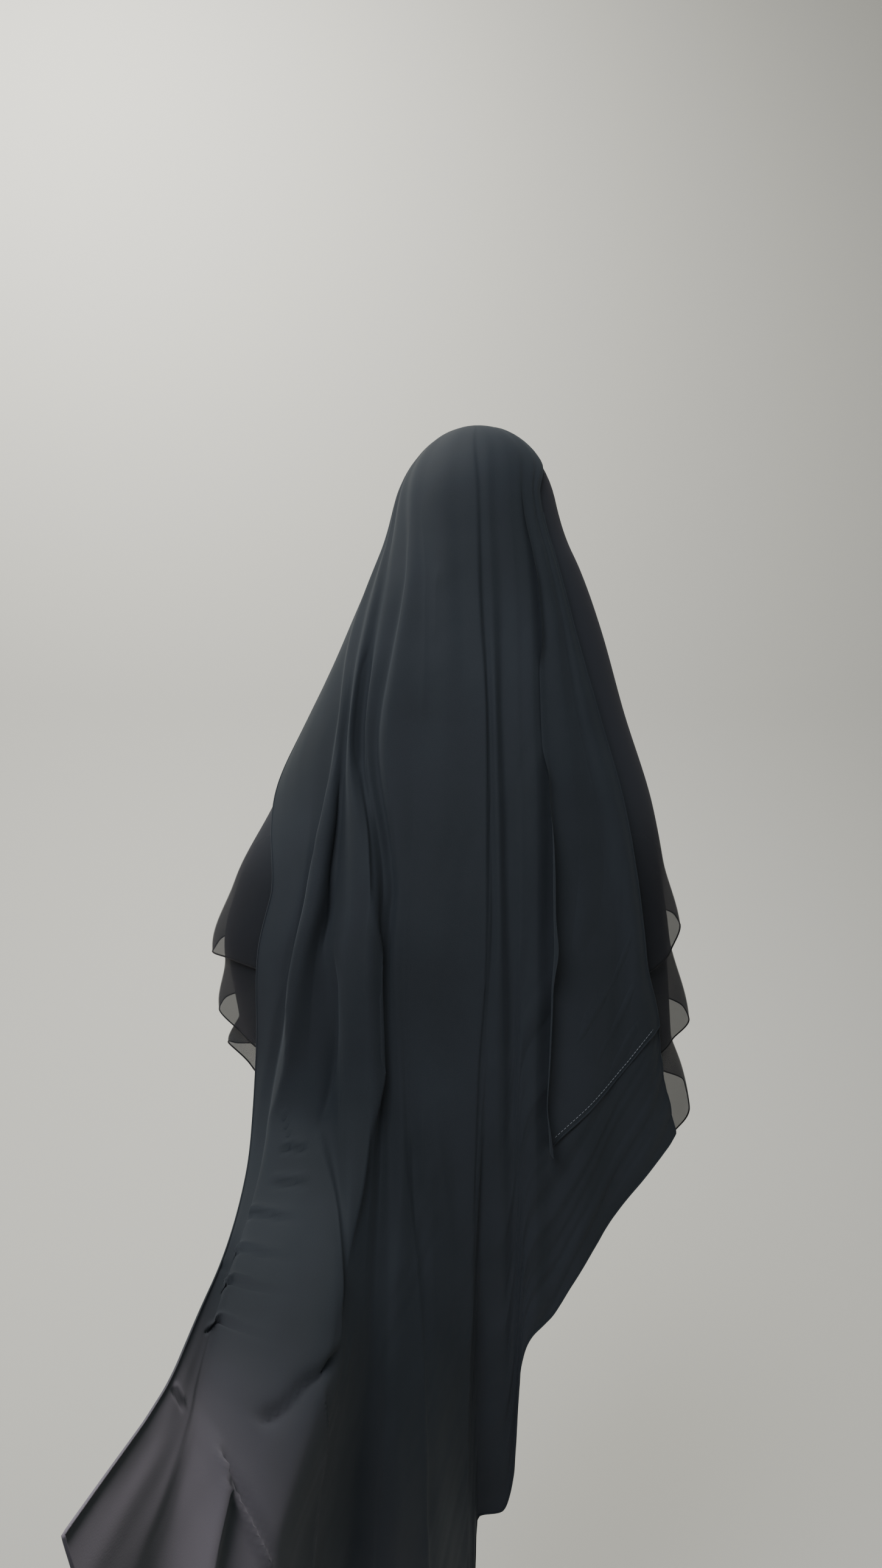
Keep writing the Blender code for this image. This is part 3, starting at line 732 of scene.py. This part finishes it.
def makePanel(name, first, hemOf, lift, count, rows):
    """one ply of crepe with its creases, and its rolled edges"""
    look = panelLook
    piece = clothGrid(name, count, rows)
    across, down = gridShares(piece)
    column, row = np.rint(across * count).astype(int), np.rint(down * rows).astype(int)
    columns = columnSpread(first, count + 1)
    shares = np.linspace(0, 1, rows + 1)
    lengths = np.array([rowLengths(shares, hemOf(c), 0.0) for c in columns])
    points = np.array([panelLine(c, line, lift * ease(c - first, -0.3, 3.0))
                       for c, line in zip(columns, lengths)])
    # cloth from the long panel's left edge, so that both plies share their creases
    before = np.array([panelLine(c, lengths[0]) for c in np.linspace(0, first, 6 * len(folds))])
    arcs = np.concatenate([np.linalg.norm(np.diff(before, axis=0), axis=2).sum(axis=0)[None],
                           np.linalg.norm(np.diff(points, axis=0), axis=2)]).cumsum(axis=0)
    out = np.cross(np.gradient(points, axis=1), np.gradient(points, axis=0))
    out /= np.maximum(np.linalg.norm(out, axis=2, keepdims=True), 1e-12)
    relief = creaseRelief(columns, lengths, arcs)
    for high, wide, tall, low, full in look["puckers"]:
        relief += high * softNoise(arcs, lengths, wide, tall, round(1e4 * wide)) * ease(lengths, low, full)
    # furrows stay shallow where the hood lies close under them
    relief = np.maximum(relief, -look["airAbove"] - look["airBelow"] * ease(lengths, 0.40, 0.62))
    points += out * (relief * ease(lengths, 0.02, 0.20))[..., None]
    drape(piece, points[column, row], 1, 1)
    spreadCloth(piece, arcs[column, row], lengths[column, row])
    weldPole(piece)
    faceOut(piece)
    bpy.ops.object.shade_smooth()
    piece.data.materials.append(crepe)
    # the short panel's left edge runs into the fold below it, so it has no roll of its own
    edge = np.concatenate([points[0 if first == 0 else count // 10:-1, -1], points[-1, :rows // 8:-1]])
    if first == 0:
        edge = np.concatenate([points[0, rows // 8:-1], edge])
    hem = rolledHem(name + "_hem", edge, look["hemRadius"], False, crepe)
    print(name, len(piece.data.polygons), "faces")
    return piece, hem


longPanel, longHem = makePanel("crepeLongPanel", 0, panelHem, 0.0, panelLook["columns"],
                               panelLook["rows"])

shortLook = {
    "start": 18.5,
    "lift": 0.0015,
    "hem": (0.606, 0.600, 0.577, 0.551, 0.524, 0.515),
    "columns": 110,
    "rows": 170,
}


def shortHem(column):
    starts = [shortLook["start"]] + list(range(math.ceil(shortLook["start"]), len(folds)))
    return float(steadyCurve(starts, shortLook["hem"], column)[0]) * panelLook["length"]


shortPanel, shortHemRoll = makePanel("crepeShortPanel", shortLook["start"], shortHem, shortLook["lift"],
                                     shortLook["columns"], shortLook["rows"])

stitchLook = {
    "inset": 0.006,
    "above": 0.0005,
    "pitch": 0.0042,
    "long": 0.0026,
    "radius": 0.00028,
    # painted highlight: the stitches are real, but their pale grey thread colour stands in for the glints
    # along them
    "shade": "7d8288",
}


def stitchRow(name):
    """the row of stitches that holds the short panel's hem down"""
    look = stitchLook
    columns = np.linspace(shortLook["start"] + 0.5, len(folds) - 1.2, 200)
    above = shortLook["lift"] + look["above"]
    line = np.array([panelLine(c, [shortHem(c) - look["inset"]], above)[0] for c in columns])
    along = np.concatenate([[0], np.cumsum(np.linalg.norm(np.diff(line, axis=0), axis=1))])
    dashes = []
    for start in np.arange(0, along[-1] - look["long"], look["pitch"]):
        ends = (start, start + look["long"] / 2, start + look["long"])
        dash = np.stack([np.interp(ends, along, line[:, k]) for k in range(3)], 1)
        dashes.append(dash)
    thread = bpy.data.materials.new("polyester thread with painted glints")
    thread.use_nodes = True
    shader = thread.node_tree.nodes["Principled BSDF"]
    # pale grey base colour: painted highlight for the glints on the stitches
    shader.inputs["Base Color"].default_value = hexToLinear(look["shade"])
    shader.inputs["Roughness"].default_value = 0.45
    return rolledHem(name, dashes, look["radius"], False, thread)


stitches = stitchRow("hemStitches")

# What goes where

for piece, node, slot in ((hood, "hood_and_top_tier", "sheer_chiffon"),
                          (middleTier, "middle_tier", "sheer_chiffon"),
                          (lowerTier, "lower_tier", "sheer_chiffon"),
                          (longPanel, "long_back_panel", "matt_crepe"),
                          (shortPanel, "short_back_panel", "matt_crepe")):
    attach(piece, "root")
    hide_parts(node)
for piece in (hoodHem, middleHem, lowerHem):
    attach(piece, "root")
for piece in (longHem, shortHemRoll, stitches):
    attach(piece, "root")

# Floor, light and camera

stageLook = {
    "floorDrop": 1.62,
    "wallBehind": 3.0,
    "sweep": 1.5,
    "shade": "c9c8c2",
}


def makeStage():
    """pale floor that sweeps up into a plain backdrop"""
    look = stageLook
    deselectAll()
    bpy.ops.mesh.primitive_plane_add(size=1, location=(0, 0, 0))
    stage = bpy.context.object
    stage.name = "stageSweep"
    arc = [(look["wallBehind"] - look["sweep"] + look["sweep"] * math.sin(a),
            -look["floorDrop"] + look["sweep"] * (1 - math.cos(a)))
           for a in np.linspace(0, rightAngle, 40)]
    line = [(-6.0, -look["floorDrop"])] + arc + [(look["wallBehind"], 4.0)]
    spots = [(x, y, z) for y, z in line for x in (-6.0, 6.0)]
    faces = [(2 * k, 2 * k + 1, 2 * k + 3, 2 * k + 2) for k in range(len(line) - 1)]
    stage.data.clear_geometry()
    stage.data.from_pydata(spots, [], faces)
    bpy.ops.object.shade_smooth()
    paint = bpy.data.materials.new("matt pale paint")
    paint.use_nodes = True
    shader = paint.node_tree.nodes["Principled BSDF"]
    shader.inputs["Base Color"].default_value = hexToLinear(look["shade"])
    shader.inputs["Roughness"].default_value = 0.9
    stage.data.materials.append(paint)
    return stage


def addLight(name, spot, target, size, power, colour, spread):
    lamp = bpy.data.lights.new(name, "AREA")
    lamp.energy = power
    lamp.size = size
    lamp.color = hexToLinear(colour)[:3]
    lamp.spread = math.radians(spread)
    holder = bpy.data.objects.new(name, lamp)
    bpy.context.scene.collection.objects.link(holder)
    holder.location = spot
    holder.visible_camera = False
    aim = np.array(target) - np.array(spot)
    holder.rotation_euler = (math.atan2(math.hypot(aim[0], aim[1]), -aim[2]), 0,
                             math.atan2(aim[1], aim[0]) - rightAngle)
    return holder


makeStage()
lamps = [
    # name, spot, aimed at, size, watts, colour, spread in degrees
    ("softKey", (-0.75, -1.8, 1.25), (0.0, 0.0, -0.15), 1.4, 17, "f4f8ff", 95),
    ("wallWash", (-1.6, 1.0, 2.6), (-0.8, 3.0, 0.3), 2.0, 150, "fffdf6", 150),
    ("sweepLight", (-0.50, -0.95, 0.15), (-0.40, -0.86, -1.30), 0.4, 11, "ffe2e4", 45),
]
for lamp in lamps:
    addLight(*lamp)

world = bpy.data.worlds.new("paleRoom")
bpy.context.scene.world = world
world.use_nodes = True
world.node_tree.nodes["Background"].inputs["Color"].default_value = hexToLinear("dfe2e2")
world.node_tree.nodes["Background"].inputs["Strength"].default_value = 0.36

cameraLook = {
    "spot": (-0.043, -1.444, -0.415),
    "tallAngle": 65.0,
    "sensor": 24.0,
}


def makeCamera():
    look = cameraLook
    data = bpy.data.cameras.new("photoCamera")
    data.sensor_fit = "VERTICAL"
    data.sensor_height = look["sensor"]
    data.lens = look["sensor"] / 2 / math.tan(math.radians(look["tallAngle"] / 2))
    data.clip_start = 0.01
    camera = bpy.data.objects.new("photoCamera", data)
    bpy.context.scene.collection.objects.link(camera)
    camera.location = look["spot"]
    camera.rotation_euler = (rightAngle, 0, 0)
    bpy.context.scene.camera = camera


makeCamera()
print("stage, lights and camera set")
